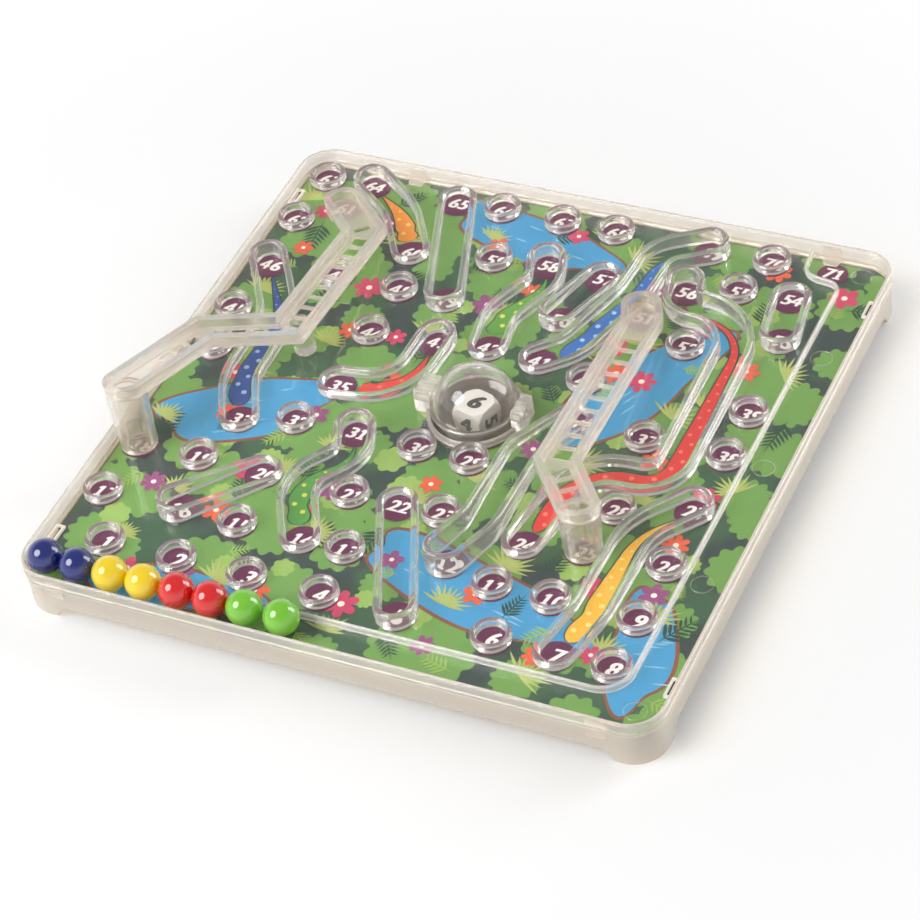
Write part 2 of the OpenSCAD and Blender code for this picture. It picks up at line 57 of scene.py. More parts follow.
CORNER_STEPS = 12
PLANT_STEPS = 72
PETAL_STEPS = 80


# Heights and widths read from the frame
def low_of(node):
    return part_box(node)[0].z / MM


def top_of(node):
    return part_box(node)[1].z / MM


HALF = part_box("base_skirt")[1].x / MM
PANEL_TOP = top_of("tray_panel")
PANEL_LOW = low_of("tray_panel")
PANEL_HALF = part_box("tray_panel")[1].x / MM
CARD_LOW = low_of("card")
CARD_TOP = top_of("card")
CARD_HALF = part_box("card")[1].x / MM
JOINT = top_of("base_skirt")
RIM_TOP = top_of("tray_rim")
FOOT_HEIGHT = top_of("corner_feet")
CLIP_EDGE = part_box("clip_frames")[1].x / MM

# Sizes of the base and rim
RIM_WALL = 1.7
RIM_INNER = HALF - RIM_WALL
CORNER_RADIUS = 14
FOOT_LENGTH = 18
SKIRT_WALL = 1.6
LIP_WALL = 0.75
AIR = 0.01

# Sizes of the moulded features
RING_RADIUS = 8
RING_WALL = 2.4
RAIL_HALF = 8.4
RAIL_WALL = 3
RAIL_LOW = 3.5
CHUTE_DEPTH = 5.5
CHUTE_FLOOR = 1.0
CHUTE_SEAT = 5.2
RUNG_PITCH = 8.2
RUNG_WIDTH = 1.7
RUNG_OPENING = 6.8
CORNER_ROOM = 2.4
END_ROOM = 20
ROUND_STEPS = 8
ARC_STEP = math.radians(6)
CAPSULE = Vector((1.7, 5.1))
OPENING_RADIUS = 17.6
CLIP_SLOT = (2.2, 8.0)
CLIP_WALL = 0.8
CLIP = (CLIP_EDGE - CLIP_WALL - CLIP_SLOT[0] / 2, 107.0)
FRONT_HOOKS = (-116, 112)
BACK_HOOKS = (-84, 106)
HOOK_HALF = 4
HOOK_TAPER = 0.22
EJECTOR_MARKS = ((122, -121), (122, -55), (122, 10), (122, 75), (121, 126))
MARK_RADIUS = 4.5
MARK_INSIDE = 4.2
MARK_HEIGHT = 0.12
GUTTER_WIDTH = 1.4
GUTTER_BENDS = [12, 5, 8]

# Rail channels: waypoints from the high end to the low end, bend radii, high end's height, end numbers
CHANNELS = {
    "ladder_05": ([(17.5, -104.3), (-7, -51)], [], 7, (5, 22)),
    "ladder_12": ([(24.5, -73.5), (30.5, -55), (29.3, -11), (40.5, 12.5)], [25, 15], 11, (12, 36)),
    "ladder_16": ([(-90.5, -78.5), (-67, -51)], [], 7, (16, 20)),
    "ladder_49": ([(-40, 65), (-61, 123.8)], [], 7, (49, 65)),
    "ladder_50": ([(10.8, 67.5), (18.7, 95.5)], [], 6, (50, 57)),
    "ladder_53": ([(102.4, 81), (98, 105.4)], [], 6, (53, 54)),
    "snake_27": ([(104.5, -19.5), (88.8, -38), (87.8, -82), (83, -104.3)], [30, 30], 6, (27, 7)),
    "snake_31": ([(-41, -18.5), (-35.5, -33), (-51, -53), (-36, -79)], [15, 17], 6, (31, 14)),
    "snake_43": ([(-32, 40), (-33.5, 8), (-60.5, 4.5)], [20], 6, (43, 35)),
    "snake_46": ([(-122.5, 64.5), (-102, 34), (-101, -6), (-91, -25)], [40, 30], 7, (46, 33)),
    "snake_56": ([(55, 97.5), (57.5, 85.5), (87.6, 84), (88.9, -10.3), (55.5, -11.5), (48.5, -55.5)],
                 [9, 22, 12, 20], 8, (56, 24)),
    "snake_58": ([(-7, 97), (-3, 84), (-13, 60), (-10.5, 43)], [16, 25], 6, (58, 42)),
    "snake_64": ([(-101.5, 124), (-81, 110), (-67, 88.5)], [45], 6, (64, 60)),
    "snake_69": ([(55.5, 123.7), (37, 113), (35.5, 88), (23.5, 51), (13, 41.5)], [14, 40, 20], 7, (69, 41)),
}

# Raised chutes: waypoints from the tower to the low end, rail heights at both ends,
# the length of closed floor at the tower and end numbers
CHUTES = {
    "long_chute": ([(-124, -50), (-113, -4.6), (-82, 9.7), (-87.2, 87.8), (-106.9, 106.4)],
                   (49, 21), 22, (18, 61)),
    "short_chute": ([(72.2, -51.3), (53.3, -28.3), (48, 68), (44, 77.5)], (40.5, 23), 6.5, (25, 51)),
}

# Numbers of the rings in each row, from left to right
RING_NUMBERS = {
    "rings_row_1": (1, 2, 3, 4, 6, 8),
    "rings_row_2": (17, 15, 13, 11, 10, 9),
    "rings_row_3": (19, 21, 23, 26),
    "rings_row_4": (32, 30, 29, 28),
    "rings_row_5": (34, 37, 38),
    "rings_row_6": (45, 44, 40, 39),
    "rings_row_7": (47, 48, 52),
    "rings_row_8": (62, 59, 55),
    "rings_row_9": (63, 66, 67, 68, 70),
}
FINISH_NUMBER = 71
FINISH_PLACE = Vector((108.5, 125.5))
FINISH_DISC = 6.4


# Colours
def srgb(red, green, blue):
    """Linear colour of an 8-bit screen colour."""
    shares = [value / 255 for value in (red, green, blue)]
    return (*[s / 12.92 if s <= 0.04045 else ((s + 0.055) / 1.055) ** 2.4 for s in shares], 1.0)


def shaded(colour, factor):
    return (*[min(1.0, value * factor) for value in colour[:3]], 1.0)


# Materials
PLASTIC_IOR = 1.49
MOULD_WAVES = (60, 2)
WAVE_DEPTH = 0.3
PAPER_GRAIN = (1500, 3)
INK_ROUGHNESS = (0.4, 0.6)


def new_material(name):
    material = bpy.data.materials.new(name)
    material.use_nodes = True
    return material, material.node_tree.nodes["Principled BSDF"]


def add_node(owner, kind):
    return owner.node_tree.nodes.new("ShaderNode" + kind)


def link(owner, start, end):
    owner.node_tree.links.new(start, end)


def set_inputs(node, values):
    for name, value in values.items():
        node.inputs[name].default_value = value


def combined(material, operation, first, second):
    """The result of an operation on two values."""
    node = add_node(material, "Math")
    node.operation = operation
    link(material, first, node.inputs[0])
    link(material, second, node.inputs[1])
    return node.outputs["Value"]


def colour_ramp(owner, source, *stops):
    """A ramp between two colours, each given after its position."""
    ramp = add_node(owner, "ValToRGB")
    for element, (position, colour) in zip(ramp.color_ramp.elements, stops):
        element.position = position
        element.color = colour
    link(owner, source, ramp.inputs["Fac"])
    return ramp.outputs["Color"]


def blend_shaders(material, share, first, second):
    """The material's surface: two shaders mixed by a share."""
    mix = add_node(material, "MixShader")
    link(material, share, mix.inputs["Fac"])
    link(material, first, mix.inputs[1])
    link(material, second, mix.inputs[2])
    output = material.node_tree.nodes["Material Output"]
    link(material, mix.outputs["Shader"], output.inputs["Surface"])


def noise(material, scale, detail):
    """Noise that keeps to the object, with a number of waves in a metre."""
    place = add_node(material, "TexCoord")
    texture = add_node(material, "TexNoise")
    set_inputs(texture, {"Scale": scale, "Detail": detail})
    link(material, place.outputs["Object"], texture.inputs["Vector"])
    return texture.outputs["Fac"]


def vary_roughness(material, shader, source, low, high):
    span = add_node(material, "MapRange")
    set_inputs(span, {"To Min": low, "To Max": high})
    link(material, source, span.inputs["Value"])
    link(material, span.outputs["Result"], shader.inputs["Roughness"])


def add_bump(material, shader, source, depth, strength):
    bump = add_node(material, "Bump")
    set_inputs(bump, {"Strength": strength, "Distance": depth * MM})
    link(material, source, bump.inputs["Height"])
    link(material, bump.outputs["Normal"], shader.inputs["Normal"])


def mix_colours(material, source, first, second):
    mix = add_node(material, "Mix")
    mix.data_type = "RGBA"
    set_inputs(mix, {"A": first, "B": second})
    link(material, source, mix.inputs["Factor"])
    return mix.outputs["Result"]


def let_lamps_through(material, shader, tint):
    """Light from lamps and sky reaches what lies behind the clear plastic."""
    path = add_node(material, "LightPath")
    clear = add_node(material, "BsdfTransparent")
    set_inputs(clear, {"Color": tint})
    blend_shaders(material, path.outputs["Is Shadow Ray"], shader.outputs["BSDF"], clear.outputs["BSDF"])


def clear_plastic(name, tint, roughness, clarity, passing, waviness=0):
    """Clear moulded plastic that passes a share of the light, with slow waves in it."""
    material, shader = new_material(name)
    set_inputs(shader, {"Base Color": tint, "IOR": PLASTIC_IOR, "Transmission Weight": clarity})
    waves = noise(material, *MOULD_WAVES)
    vary_roughness(material, shader, waves, roughness * 0.6, roughness * 1.4)
    if waviness:
        add_bump(material, shader, waves, WAVE_DEPTH, waviness)
    let_lamps_through(material, shader, shaded(tint, passing))
    return material


def gloss_plastic(name, colour, roughness):
    """Solid coloured plastic with a polished skin and a faint cloud in its colour."""
    material, shader = new_material(name)
    cloud = noise(material, 120, 3)
    tone = mix_colours(material, cloud, shaded(colour, 0.88), shaded(colour, 1.1))
    link(material, tone, shader.inputs["Base Color"])
    vary_roughness(material, shader, noise(material, 400, 2), roughness * 0.7, roughness * 1.3)
    set_inputs(shader, {"Coat Weight": 1.0, "Coat Roughness": 0.03})
    return material


def ink(name, colour):
    """Printed ink on card, with the fine grain of the paper."""
    material, shader = new_material(name)
    grain = noise(material, *PAPER_GRAIN)
    tone = mix_colours(material, grain, shaded(colour, 0.88), shaded(colour, 1.12))
    link(material, tone, shader.inputs["Base Color"])
    vary_roughness(material, shader, grain, *INK_ROUGHNESS)
    return material


def ground_ink(name, dark, light):
    """Printed undergrowth: soft patches of two greens with the grain of the paper."""
    material, shader = new_material(name)
    tone = colour_ramp(material, noise(material, 28, 4), (0.46, dark), (0.54, light))
    link(material, tone, shader.inputs["Base Color"])
    vary_roughness(material, shader, noise(material, *PAPER_GRAIN), *INK_ROUGHNESS)
    return material


# Name, tint, roughness, clarity, light passed and waviness
PANEL_PLASTIC = clear_plastic("panel_plastic", srgb(252, 250, 248), 0.05, 1.0, 1.05, 0.15)
TRAY_PLASTIC = clear_plastic("tray_plastic", srgb(248, 246, 242), 0.05, 0.93, 0.92, 0.12)
WALL_PLASTIC = clear_plastic("wall_plastic", srgb(250, 248, 244), 0.12, 0.75, 0.95)
RIM_PLASTIC = clear_plastic("rim_plastic", srgb(240, 235, 228), 0.16, 0.72, 1.05)
CHUTE_PLASTIC = clear_plastic("chute_plastic", srgb(242, 236, 228), 0.16, 0.76, 0.9)
TOWER_PLASTIC = clear_plastic("tower_plastic", srgb(244, 240, 234), 0.1, 0.9, 0.92)
BASE_PLASTIC = clear_plastic("base_plastic", srgb(228, 221, 210), 0.22, 0.5, 1.05)
FITTING_PLASTIC = clear_plastic("fitting_plastic", srgb(244, 240, 235), 0.14, 0.75, 0.8)
FRAME_PLASTIC = clear_plastic("frame_plastic", srgb(252, 249, 244), 0.2, 0.5, 0.95)
DOME_PLASTIC = clear_plastic("dome_plastic", srgb(250, 248, 244), 0.04, 0.96, 0.95)
# The bowl's dark smoky tint is partly painted shade: it darkens the inside of the capsule's lower half as
# the shade there would
SHADED_BOWL_PLASTIC = clear_plastic("bowl_plastic_painted_shade", srgb(132, 116, 104), 0.08, 0.6, 0.7)


# Mesh pieces
def place_object(name, data):
    holder = bpy.data.objects.new(name, data)
    bpy.context.scene.collection.objects.link(holder)
    return holder


def new_mesh(name, points, faces):
    """A mesh in metres from points in millimetres and faces."""
    mesh = bpy.data.meshes.new(name)
    mesh.from_pydata([Vector(p) * MM for p in points], [], faces)
    return mesh


def add_piece(name, shape, material, body="board", sharp=40):
    """A mesh piece from a shape's points and faces, riding on a body."""
    mesh = new_mesh(name, *shape)
    mesh.materials.append(material)
    shaped = bmesh.new()
    shaped.from_mesh(mesh)
    bmesh.ops.recalc_face_normals(shaped, faces=shaped.faces)
    shaped.to_mesh(mesh)
    shaped.free()
    mesh.shade_smooth()
    mesh.set_sharp_from_angle(angle=math.radians(sharp))
    piece = place_object(name, mesh)
    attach(piece, body)
    return piece


def merged(shapes):
    """Several shapes as one list of points and faces."""
    points, faces = [], []
    for more_points, more_faces in shapes:
        start = len(points)
        points += more_points
        faces += [tuple(start + k for k in face) for face in more_faces]
    return points, faces


def swept(sections, closed):
    """A skin over sections with the same number of points, end to end or round a loop."""
    count = len(sections[0])
    points = [p for section in sections for p in section]
    faces = []
    runs = len(sections) if closed else len(sections) - 1
    for i in range(runs):
        j = (i + 1) % len(sections)
        for k in range(count):
            m = (k + 1) % count
            faces.append((i * count + k, i * count + m, j * count + m, j * count + k))
    if not closed:
        faces.append(tuple(range(count)))
        faces.append(tuple((len(sections) - 1) * count + k for k in range(count)))
    return points, faces


def slab(outline, low, high):
    """A thin flat plate with one outline."""
    count = len(outline)
    points = [(p.x, p.y, low) for p in outline] + [(p.x, p.y, high) for p in outline]
    sides = [(k, (k + 1) % count, count + (k + 1) % count, count + k) for k in range(count)]
    return points, [tuple(range(count)), tuple(range(count, 2 * count)), *sides]


def plate(outline, holes, low, high):
    """A flat plate with holes."""
    loops = [outline, *holes]
    flat = [p for loop in loops for p in loop]
    triangles = tessellate_polygon([[Vector((p.x, p.y, 0)) for p in loop] for loop in loops])
    count = len(flat)
    points = [(p.x, p.y, low) for p in flat] + [(p.x, p.y, high) for p in flat]
    faces = [tuple(t) for t in triangles] + [tuple(count + k for k in t) for t in triangles]
    start = 0
    for loop in loops:
        for k in range(len(loop)):
            a, b = start + k, start + (k + 1) % len(loop)
            faces.append((a, b, count + b, count + a))
        start += len(loop)
    return points, faces


# Outlines seen from above
def direction(angle):
    return Vector((math.cos(angle), math.sin(angle)))


def left_of(v):
    return Vector((-v.y, v.x))


def circle(centre, radius, count=48):
    return [centre + direction(TAU * k / count) * radius for k in range(count)]


def rectangle(centre, width, depth):
    return [centre + Vector((x * width / 2, y * depth / 2)) for x, y in SQUARE]


def rounded_square(half, radius):
    straight = half - radius
    outline = []
    for turn, (x, y) in enumerate(((1, 1), (-1, 1), (-1, -1), (1, -1))):
        centre = Vector((x * straight, y * straight))
        turns = [(turn + k / CORNER_STEPS) * TAU / 4 for k in range(CORNER_STEPS + 1)]
        outline += [centre + direction(angle) * radius for angle in turns]
    return outline


def centre_line(waypoints, bends):
    """Places along waypoints with round bends, each with its left-hand normal."""
    line = [Vector(p) for p in waypoints]
    runs = [(b - a).normalized() for a, b in zip(line, line[1:])]
    stations = [(line[0], left_of(runs[0]))]
    for corner, radius, before, after in zip(line[1:], bends, runs, runs[1:]):
        turn = math.atan2(before.x * after.y - before.y * after.x, before.dot(after))
        side = math.copysign(1, turn)
        start = corner - before * radius * math.tan(abs(turn) / 2)
        centre = start + left_of(before) * radius * side
        steps = max(2, math.ceil(abs(turn) / ARC_STEP))
        for k in range(steps + 1):
            normal = Matrix.Rotation(turn * k / steps, 2) @ left_of(before)
            stations.append((centre - normal * radius * side, normal))
    stations.append((line[-1], left_of(runs[-1])))
    return stations


def mitred_line(waypoints, step=5):
    """Places along waypoints, with normals that reach to the edge at mitred corners."""
    line = [Vector(p) for p in waypoints]
    normals = [left_of((b - a).normalized()) for a, b in zip(line, line[1:])]
    stations = []
    for k, (a, b) in enumerate(zip(line, line[1:])):
        normal = normals[k]
        if k:
            middle = (normals[k - 1] + normal).normalized()
            stations.append((a, middle / middle.dot(normal)))
        else:
            stations.append((a, normal))
        count = math.ceil((b - a).length / step)
        clear_start = 1 if k == 0 else 2
        clear_end = count if k == len(normals) - 1 else count - 1
        stations += [(a.lerp(b, i / count), normal) for i in range(clear_start, clear_end)]
    stations.append((line[-1], normals[-1]))
    return stations


def round_end(place, start_angle, reach):
    """Half a turn round the end of a line, without its first and last place."""
    steps = math.ceil(math.pi / ARC_STEP)
    turned = [direction(start_angle + math.pi * k / steps) for k in range(1, steps)]
    return [(place + out * reach, out) for out in turned]


def loop_round(stations, reach):
    """Places and outward normals of the loop at a reach from a line."""
    (first, first_normal), (last, last_normal) = stations[0], stations[-1]
    right = [(p - n * reach, -n) for p, n in stations]
    left = [(p + n * reach, n) for p, n in reversed(stations)]
    end = round_end(last, math.atan2(-last_normal.y, -last_normal.x), reach)
    start = round_end(first, math.atan2(first_normal.y, first_normal.x), reach)
    return right + end + left + start


def wall_section(place, outward, low, top, width):
    """Section across a wall with a full round top."""
    radius = width / 2
    turns = [math.pi * k / ROUND_STEPS for k in range(ROUND_STEPS + 1)]
    arc = [(radius * math.cos(t), top - radius + radius * math.sin(t)) for t in turns]
    section = [(radius, low), *arc, (-radius, low)]
    return [(*(place + outward * reach), height) for reach, height in section]


def ring_places(node):
    """Centres of the rings in one node, from left to right."""
    corners = sorted((v.co.x / MM, v.co.y / MM) for v in nodes[node].data.vertices)
    groups = [[corners[0]]]
    for corner in corners[1:]:
        if corner[0] - groups[-1][-1][0] > RING_RADIUS / 2:
            groups.append([])
        groups[-1].append(corner)
    places = []
    for group in groups:
        xs, ys = zip(*group)
        places.append(Vector(((min(xs) + max(xs)) / 2, (min(ys) + max(ys)) / 2)))
    return places


# Base shell and rim
def foot_edge():
    """Places from a side's middle to a corner, with the heights of the lower edge."""
    run_steps, arch_steps, arch_turn = 12, 11, 8
    toe_steps, toe_length = 8, 1.3
    arch_end = HALF - FOOT_LENGTH
    arch_start = arch_end - FOOT_HEIGHT
    edge = [(arch_start * k / run_steps, FOOT_HEIGHT) for k in range(run_steps)]
    for k in range(arch_steps):
        turn = math.radians(arch_turn * k)
        edge.append((arch_start + FOOT_HEIGHT * math.sin(turn), FOOT_HEIGHT * math.cos(turn)))
    start, drop = edge[-1]
    for k in range(1, toe_steps + 1):
        turn = TAU / 4 * k / toe_steps
        edge.append((start + toe_length * (1 - math.cos(turn)), drop * (1 - math.sin(turn))))
    return edge


def board_loop():
    """Places round the board with outward normals and the heights of the lower edge."""
    half_side = foot_edge()
    side = [(-t, low) for t, low in reversed(half_side)] + half_side[1:]
    straight = HALF - CORNER_RADIUS
    loop = []
    for turn in range(4):
        quarter = Matrix.Rotation(turn * TAU / 4, 2)
        loop += [(quarter @ Vector((HALF, t)), quarter @ Vector((1, 0)), low) for t, low in side]
        for k in range(CORNER_STEPS + 1):
            out = quarter @ direction(TAU / 4 * k / CORNER_STEPS)
            loop.append((quarter @ Vector((straight, straight)) + out * CORNER_RADIUS, out, 0))
    return loop


def arc_points(centre, radius, start, end, steps):
    """Points of an arc in a section, with angles in degrees."""
    turns = [math.radians(start + (end - start) * k / steps) for k in range(steps + 1)]
    return [(centre[0] + radius * math.cos(t), centre[1] + radius * math.sin(t)) for t in turns]


def shell_section(low):
    """Section of the base wall, with a lip for the tray, as depths and heights."""
    outer, inner, soft = 0.5, SKIRT_WALL - 2 * AIR, 0.6
    lip_top = JOINT - 0.4
    ledge = CARD_TOP - 0.03
    lip = LIP_WALL
    return [*arc_points((outer + soft, low + soft), soft, 270, 180, 4), (outer, lip_top - 0.1),
            (outer + 0.1, lip_top), (lip, lip_top), (lip, ledge), (inner, ledge), (inner, low)]


def rim_section():
    """Section of the tray's rim: a round top, a shallow groove and a flange over the base."""
    soft, groove, flange = 0.2, 0.55, JOINT + 1.6
    radius = RIM_WALL / 2
    bead = RIM_TOP - radius
    seat = HALF - PANEL_HALF + 2 * AIR
    return [(RIM_WALL, PANEL_TOP + AIR), (seat, PANEL_TOP + AIR), (seat, JOINT), (soft, JOINT),
            (0, JOINT + soft), (0, flange - soft), (soft, flange), (groove, flange + soft),
            (groove, bead - 1.4), (0.15, bead - 0.9), (0, bead - 0.4),
            *arc_points((radius, bead), radius, 180, 0, 10)]


def around(loop, section_at):
    """Sections set upright round the board's outline."""
    sections = []
    for place, out, low in loop:
        sections.append([(*(place - out * depth), height) for depth, height in section_at(low)])
    return swept(sections, True)


def add_base_shell():
    shape = around(board_loop(), shell_section)
    piece = add_piece("base_shell", shape, BASE_PLASTIC, sharp=30)
    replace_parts(piece, "base_skirt", "corner_feet")


def add_rim():
    shape = around(board_loop(), lambda low: rim_section())
    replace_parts(add_piece("rim_bead", shape, RIM_PLASTIC, sharp=30), "tray_rim")


# Clear tray
def add_rings(node):
    top = top_of(node)
    reach = RING_RADIUS - RING_WALL / 2
    outward = [direction(TAU * k / RING_STEPS) for k in range(RING_STEPS)]
    rings = []
    for centre in ring_places(node):
        sections = [wall_section(centre + out * reach, out, PANEL_TOP, top, RING_WALL)
                    for out in outward]
        rings.append(swept(sections, True))
    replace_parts(add_piece(node + "_round", merged(rings), TRAY_PLASTIC), node)


def channel_top(waypoints, high):
    """The height of a channel's rails, falling evenly from the high end to the low end."""
    start, end = Vector(waypoints[0]), Vector(waypoints[-1])
    across = end - start
    fall = (high - RAIL_LOW) / across.length_squared
    return lambda place: PANEL_TOP + high - fall * (place - start).dot(across)


def add_channel(name, waypoints, bends, high):
    top = channel_top(waypoints, high)
    loop = loop_round(centre_line(waypoints, bends), RAIL_HALF - RAIL_WALL / 2)
    sections = [wall_section(p, out, PANEL_TOP, top(p), RAIL_WALL) for p, out in loop]
    piece = add_piece(name + "_rails", swept(sections, True), TRAY_PLASTIC)
    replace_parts(piece, name)


def chute_top(waypoints, heights):
    """The height of a chute's rails, falling evenly toward the back."""
    start, end = waypoints[0][1], waypoints[-1][1]
    fall = (heights[0] - heights[1]) / (end - start)
    return lambda place: heights[0] - fall * (place.y - start)


def chute_section(place, outward, low, top):
    """Section across a chute's wall, with softened edges."""
    half, soft = RAIL_WALL / 2, 0.5
    section = [(half, low), *arc_points((half - soft, top - soft), soft, 0, 90, 4),
               *arc_points((soft - half, top - soft), soft, 90, 180, 4), (-half, low)]
    return [(*(place + outward * reach), height) for reach, height in section]


def add_chute_rails(name, waypoints, heights):
    top = chute_top(waypoints, heights)
    end = Vector(waypoints[-1])
    sections = []
    for place, out in loop_round(mitred_line(waypoints), RAIL_HALF - RAIL_WALL / 2):
        at_end = (place - end).length < RAIL_HALF
        low = PANEL_TOP if at_end else max(PANEL_TOP, top(place) - CHUTE_DEPTH)
        sections.append(chute_section(place, out, low, top(place)))
    piece = add_piece(name + "_walls", swept(sections, True), CHUTE_PLASTIC, sharp=25)
    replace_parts(piece, name + "_rails")


def rung_openings(waypoints, tower_room):
    """Openings between the rungs, evenly spaced on each run, clear of bends and ends."""
    line = [Vector(p) for p in waypoints]
    lengths = [(b - a).length for a, b in zip(line, line[1:])]
    openings = []
    for k, (a, b) in enumerate(zip(line, line[1:])):
        way = (b - a).normalized()
        first = max(CORNER_ROOM, tower_room - sum(lengths[:k]))
        last = max(CORNER_ROOM, END_ROOM - sum(lengths[k + 1:]))
        run = lengths[k] - first - last
        count = max(0, round(run / RUNG_PITCH))
        for i in range(count):
            centre = a + way * (first + (i + 0.5) * run / count)
            half_run = way * (run / count - RUNG_WIDTH) / 2
            half_width = left_of(way) * RUNG_OPENING / 2
            openings.append([centre + half_run * x + half_width * y for x, y in SQUARE])
    return openings


def add_chute_floor(name, waypoints, heights, tower_room):
    """The ladder: a sloping floor with openings between its rungs."""
    top = chute_top(waypoints, heights)
    outline = [place for place, out in loop_round(mitred_line(waypoints), RAIL_HALF - RAIL_WALL - AIR)]
    holes = [circle(Vector(waypoints[0]), CHUTE_SEAT), *rung_openings(waypoints, tower_room)]
    points, faces = plate(outline, holes, -CHUTE_DEPTH, CHUTE_FLOOR - CHUTE_DEPTH)
    sloping = [(x, y, z + top(Vector((x, y)))) for x, y, z in points]
    piece = add_piece(name + "_rungs", (sloping, faces), CHUTE_PLASTIC)
    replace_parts(piece, name + "_ladder")


def clip_slots():
    """Outlines of the slots near the corners of the board."""
    places = [Vector((x * CLIP[0], y * CLIP[1])) for x in (-1, 1) for y in (-1, 1)]
    return [rectangle(place, *CLIP_SLOT) for place in places]


def add_panel():
    holes = [circle(CAPSULE, OPENING_RADIUS, FINE_CIRCLE), *clip_slots()]
    outline = rounded_square(PANEL_HALF, CORNER_RADIUS - HALF + PANEL_HALF)
    shape = plate(outline, holes, PANEL_LOW + AIR, PANEL_TOP - AIR)
    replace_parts(add_piece("clear_panel", shape, PANEL_PLASTIC), "tray_panel")


def add_ejector_marks():
    """Faint round marks that the mould's pins leave in the side gutter."""
    shapes = []
    for place in EJECTOR_MARKS:
        centre = Vector(place)
        inside = circle(centre, MARK_INSIDE)
        shapes.append(plate(circle(centre, MARK_RADIUS), [inside], PANEL_TOP, PANEL_TOP + MARK_HEIGHT))
    add_piece("ejector_marks", merged(shapes), TRAY_PLASTIC)


def hook_shape(x, inward):
    """A hook tab against the rim with a sloping foot on the panel."""
    section = [(0.02, 0), (4.5, 0), (4.3, 0.6), (0.8, 0.9), (0.8, 5.9), (0.3, 6.5), (0.02, 6.5)]
    sides = []
    for side in (-1, 1):
        edge = []
        for depth, height in section:
            across = x + side * (HOOK_HALF - HOOK_TAPER * depth)
            edge.append((across, inward * (depth - RIM_INNER), PANEL_TOP + height))
        sides.append(edge)
    return swept(sides, False)


def add_hooks():
    shapes = [hook_shape(x, 1) for x in FRONT_HOOKS] + [hook_shape(x, -1) for x in BACK_HOOKS]
    piece = add_piece("hooks", merged(shapes), RIM_PLASTIC, sharp=20)
    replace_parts(piece, "hook_tabs")


def add_hook_windows():
    """Raised patches on the outside of the front, where the hooks snap into the base."""
    shapes = []
    for x in FRONT_HOOKS:
        for low, high in ((JOINT - 4, JOINT - 0.5), (JOINT + 2.1, RIM_TOP - 2.5)):
            outline = rectangle(Vector((x, 0.25 - HALF)), 2 * HOOK_HALF, 0.4)
            shapes.append(slab(outline, low, high))
    add_piece("hook_windows", merged(shapes), RIM_PLASTIC)


def add_gutter_wall():
    low, high = (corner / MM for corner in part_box("gutter_wall"))
    wall_x = high.x - GUTTER_WIDTH / 2
    wall_y = low.y + GUTTER_WIDTH / 2
    line = [(-38, wall_y), (wall_x, wall_y), (wall_x, 116.5), (98, 119), (97, RIM_INNER)]
    stations = centre_line(line, GUTTER_BENDS)
    sections = [wall_section(p, n, PANEL_TOP, high.z, GUTTER_WIDTH) for p, n in stations]
    piece = add_piece("gutter_rib", swept(sections, False), WALL_PLASTIC)
    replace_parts(piece, "gutter_wall")


add_base_shell()
add_rim()
add_panel()
add_gutter_wall()
add_ejector_marks()
add_hooks()
add_hook_windows()
for row_name in RING_NUMBERS:
    add_rings(row_name)
for channel_name, (line, bends, high, ends) in CHANNELS.items():
    add_channel(channel_name, line, bends, high)
for chute_name, (line, heights, tower_room, ends) in CHUTES.items():
    add_chute_rails(chute_name, line, heights)
    add_chute_floor(chute_name, line, heights, tower_room)

# Finish of the CAD nodes that stay in view
TOWER_NODES = ("long_chute_tower", "long_chute_leg", "short_chute_tower", "tower_sockets")
FITTING_NODES = ("bearing_left", "bearing_right", "capsule_collar")
MARBLE_COLOURS = {
    "blue": srgb(20, 36, 112),
    "yellow": srgb(240, 208, 30),
    "red": srgb(215, 30, 28),
    "green": srgb(120, 195, 50),
}
MARBLES = ("blue", "blue", "yellow", "yellow", "red", "red", "green", "green")


def set_material(name, material):
    mesh = nodes[name].data
    mesh.materials.clear()
    mesh.materials.append(material)


def set_outside_material(name, centre, material):
    """A second material on the faces of a node that look away from a centre."""
    mesh = nodes[name].data
    mesh.materials.append(material)
    place = nodes[name].matrix_world
    for face in mesh.polygons:
        outward = place @ face.center - centre * MM
        if outward.dot(place.to_3x3() @ face.normal) > 0:
            face.material_index = 1


for name in nodes:
    set_material(name, TRAY_PLASTIC)
for name in TOWER_NODES:
    set_material(name, TOWER_PLASTIC)
for name in FITTING_NODES:
    set_material(name, FITTING_PLASTIC)
set_material("base_plate", BASE_PLASTIC)
set_material("clip_frames", FRAME_PLASTIC)
set_material("capsule_upper", DOME_PLASTIC)
# Painted shade: the lower half's inside faces keep the dark tint, while its outside faces get a light
# plastic
set_material("capsule_lower", SHADED_BOWL_PLASTIC)
set_outside_material("capsule_lower", Vector((*CAPSULE, low_of("capsule_upper"))), FITTING_PLASTIC)

# The capsule halves meet at a fine seam
seam = nodes["capsule_upper"].modifiers.new("seam", "DISPLACE")
seam.direction = "Z"
seam.mid_level = 0
seam.strength = 0.02 * MM

# Marbles and die
for key, colour in MARBLE_COLOURS.items():
    marble = gloss_plastic("marble_" + key, colour, 0.12)
    for number, wanted in enumerate(MARBLES, 1):
        if wanted == key:
            set_material(f"ball_{number}", marble)
set_material("die", gloss_plastic("die_plastic", srgb(222, 221, 218), 0.2))

# Printed card
SHEET_TOP = CARD_LOW + 0.2
LAYER = 0.018
INK_DEPTH = 0.004
INK_MARGIN = 0.5
ITEM_STEP = 0.0006
ITEM_STEPS = 23
BOLD_PASSES = 3
DISC_RADIUS = 7.7
NUMBER_SIZE = 9.6
TWO_DIGIT_SHARE = 0.88
NUMBER_DEPTH = 0.01
NUMBER_BOLDNESS = 0.035
CAPSULE_RIM = 20.3
CAPSULE_RIM_GAP = 0.3
SLANT = 0.2
DIGIT_PITCH = 0.53

